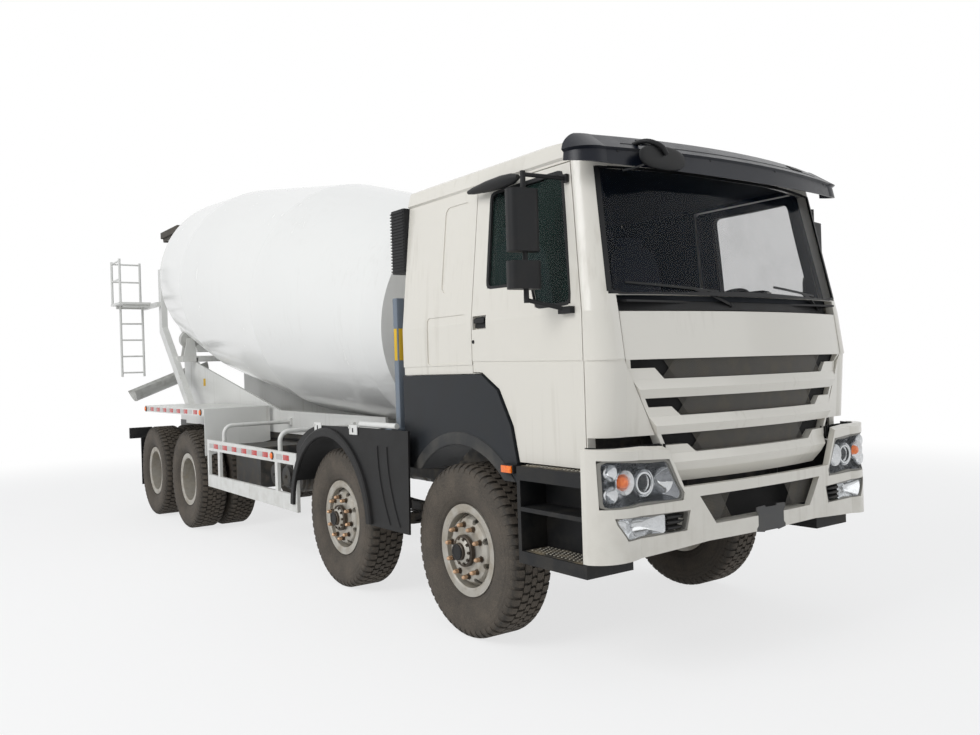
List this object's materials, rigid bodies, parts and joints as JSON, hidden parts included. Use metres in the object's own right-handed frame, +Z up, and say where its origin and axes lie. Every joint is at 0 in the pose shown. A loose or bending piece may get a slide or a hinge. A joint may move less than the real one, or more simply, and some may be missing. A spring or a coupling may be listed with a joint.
{
  "type": "concrete mixer truck",
  "caption": "Forward-control truck with twin steered front axles, tandem drive axles, a sloping mixing drum, feed hopper and swivelling discharge chute.",
  "frame": {"origin": "on the ground at mid-length on the centre line", "axes": "+X forward, +Y to the vehicle's left, +Z up"},
  "size_m": [10.495, 2.8758, 4.1168],
  "materials": {
    "cab_paint": "gloss",
    "drum_paint": "gloss",
    "frame_paint": "satin",
    "body_paint": "satin",
    "dark_metal": "matt",
    "rim_paint": "satin",
    "tyre_rubber": "matt",
    "flap_rubber": "matt",
    "trim_plastic": "matt",
    "visor_plastic": "gloss",
    "window_glass": "clear",
    "lamp_lens": "clear",
    "seat_cloth": "woven",
    "chute_steel": "worn"
  },
  "bodies": {
    "chassis": {"bumper": "cab_paint", "lamps": "lamp_lens", "step_boxes": "trim_plastic", "mudguards": "trim_plastic", "side_guards": "body_paint", "rear_fenders": "body_paint", "feed_hopper": "body_paint", "discharge_funnel": "body_paint", "rear_platform": "body_paint", "drum_subframe": "body_paint", "drum_gearbox": "dark_metal", "rear_pedestal": "body_paint", "frame_rails": "frame_paint", "engine_block": "dark_metal", "side_tanks": "frame_paint", "chassis_boxes": "frame_paint", "front_axle_beams": "dark_metal", "drive_axles": "dark_metal", "leaf_springs": "dark_metal"},
    "cab": {"cab_shell": "cab_paint", "windscreen": "window_glass", "wiper_cowl": "trim_plastic", "sun_visor": "visor_plastic", "dashboard": "trim_plastic", "steering_wheel": "trim_plastic", "seats": "seat_cloth", "wheel_arches": "trim_plastic"},
    "front_lid": {"front_lid": "cab_paint"},
    "drum": {"mixing_drum": "drum_paint"},
    "roller_left": {"drum_roller_left": "chute_steel"},
    "roller_right": {"drum_roller_right": "chute_steel"},
    "chute_arm": {"chute_arm": "dark_metal"},
    "chute": {"chute": "chute_steel"},
    "door_left": {"door_left": "cab_paint", "door_glass_left": "window_glass", "mirrors_left": "trim_plastic"},
    "door_right": {"door_right": "cab_paint", "door_glass_right": "window_glass", "mirrors_right": "trim_plastic"},
    "wheel_front_left": {"tyre_front_left": "tyre_rubber", "rim_front_left": "rim_paint"},
    "knuckle_front_left": {"knuckle_front_left": "dark_metal"},
    "wheel_front_right": {"tyre_front_right": "tyre_rubber", "rim_front_right": "rim_paint"},
    "knuckle_front_right": {"knuckle_front_right": "dark_metal"},
    "wheel_second_left": {"tyre_second_left": "tyre_rubber", "rim_second_left": "rim_paint"},
    "knuckle_second_left": {"knuckle_second_left": "dark_metal"},
    "wheel_second_right": {"tyre_second_right": "tyre_rubber", "rim_second_right": "rim_paint"},
    "knuckle_second_right": {"knuckle_second_right": "dark_metal"},
    "wheel_third_left": {"tyre_third_left": "tyre_rubber", "rim_third_left": "rim_paint"},
    "wheel_third_right": {"tyre_third_right": "tyre_rubber", "rim_third_right": "rim_paint"},
    "wheel_fourth_left": {"tyre_fourth_left": "tyre_rubber", "rim_fourth_left": "rim_paint"},
    "wheel_fourth_right": {"tyre_fourth_right": "tyre_rubber", "rim_fourth_right": "rim_paint"}
  },
  "joints": [
    {"name": "steer_front_left", "type": "hinge", "parent": "chassis", "child": "knuckle_front_left", "pos_m": [3.75, 0.88, 0.5625], "axis": [0, 0, 1], "range_deg": [-36, 36]},
    {"name": "spin_front_left", "type": "hinge", "parent": "knuckle_front_left", "child": "wheel_front_left", "pos_m": [3.75, 1.011, 0.5625], "axis": [0, 1, 0], "continuous": true},
    {"name": "steer_front_right", "type": "hinge", "parent": "chassis", "child": "knuckle_front_right", "pos_m": [3.75, -0.88, 0.5625], "axis": [0, 0, 1], "range_deg": [-36, 36]},
    {"name": "spin_front_right", "type": "hinge", "parent": "knuckle_front_right", "child": "wheel_front_right", "pos_m": [3.75, -1.011, 0.5625], "axis": [0, 1, 0], "continuous": true},
    {"name": "steer_second_left", "type": "hinge", "parent": "chassis", "child": "knuckle_second_left", "pos_m": [1.95, 0.88, 0.5625], "axis": [0, 0, 1], "range_deg": [-25, 25]},
    {"name": "spin_second_left", "type": "hinge", "parent": "knuckle_second_left", "child": "wheel_second_left", "pos_m": [1.95, 1.011, 0.5625], "axis": [0, 1, 0], "continuous": true},
    {"name": "steer_second_right", "type": "hinge", "parent": "chassis", "child": "knuckle_second_right", "pos_m": [1.95, -0.88, 0.5625], "axis": [0, 0, 1], "range_deg": [-25, 25]},
    {"name": "spin_second_right", "type": "hinge", "parent": "knuckle_second_right", "child": "wheel_second_right", "pos_m": [1.95, -1.011, 0.5625], "axis": [0, 1, 0], "continuous": true},
    {"name": "spin_third_left", "type": "hinge", "parent": "chassis", "child": "wheel_third_left", "pos_m": [-1.85, 0.915, 0.5625], "axis": [0, 1, 0], "continuous": true},
    {"name": "spin_third_right", "type": "hinge", "parent": "chassis", "child": "wheel_third_right", "pos_m": [-1.85, -0.915, 0.5625], "axis": [0, 1, 0], "continuous": true},
    {"name": "spin_fourth_left", "type": "hinge", "parent": "chassis", "child": "wheel_fourth_left", "pos_m": [-3.2, 0.915, 0.5625], "axis": [0, 1, 0], "continuous": true},
    {"name": "spin_fourth_right", "type": "hinge", "parent": "chassis", "child": "wheel_fourth_right", "pos_m": [-3.2, -0.915, 0.5625], "axis": [0, 1, 0], "continuous": true},
    {"name": "drum_spin", "type": "hinge", "parent": "chassis", "child": "drum", "pos_m": [-0.4607, 0, 2.61742], "axis": [-0.9868, 0, 0.1621], "continuous": true},
    {"name": "roller_left_spin", "type": "hinge", "parent": "chassis", "child": "roller_left", "pos_m": [-3.91244, 0.52015, 2.27152], "axis": [-0.9868, 0, 0.1621], "continuous": true},
    {"name": "roller_right_spin", "type": "hinge", "parent": "chassis", "child": "roller_right", "pos_m": [-3.91244, -0.52015, 2.27152], "axis": [-0.9868, 0, 0.1621], "continuous": true},
    {"name": "cab_tilt", "type": "hinge", "parent": "chassis", "child": "cab", "pos_m": [5.16, 0, 1.16], "axis": [0, 1, 0], "range_deg": [0, 50]},
    {"name": "front_lid_hinge", "type": "hinge", "parent": "cab", "child": "front_lid", "pos_m": [5.05, 0, 2.11], "axis": [0, -1, 0], "range_deg": [0, 60]},
    {"name": "door_left_hinge", "type": "hinge", "parent": "cab", "child": "door_left", "pos_m": [4.965, 1.15, 1.8], "axis": [0, 0, -1], "range_deg": [0, 70]},
    {"name": "door_right_hinge", "type": "hinge", "parent": "cab", "child": "door_right", "pos_m": [4.965, -1.15, 1.8], "axis": [0, 0, 1], "range_deg": [0, 70]},
    {"name": "chute_swivel", "type": "hinge", "parent": "chassis", "child": "chute_arm", "pos_m": [-4.67, 0, 1.5], "axis": [0, 0, -1], "range_deg": [0, 180]},
    {"name": "chute_tilt", "type": "hinge", "parent": "chute_arm", "child": "chute", "pos_m": [-4.67, -0.06, 1.73], "axis": [1, 0, 0], "range_deg": [-15, 12]}
  ],
  "couplings": [
    {"joint": "steer_front_right", "follows": "steer_front_left", "ratio": 1},
    {"joint": "steer_second_left", "follows": "steer_front_left", "ratio": 0.69},
    {"joint": "steer_second_right", "follows": "steer_front_left", "ratio": 0.69},
    {"joint": "roller_left_spin", "follows": "drum_spin", "ratio": -7.32},
    {"joint": "roller_right_spin", "follows": "drum_spin", "ratio": -7.32}
  ]
}
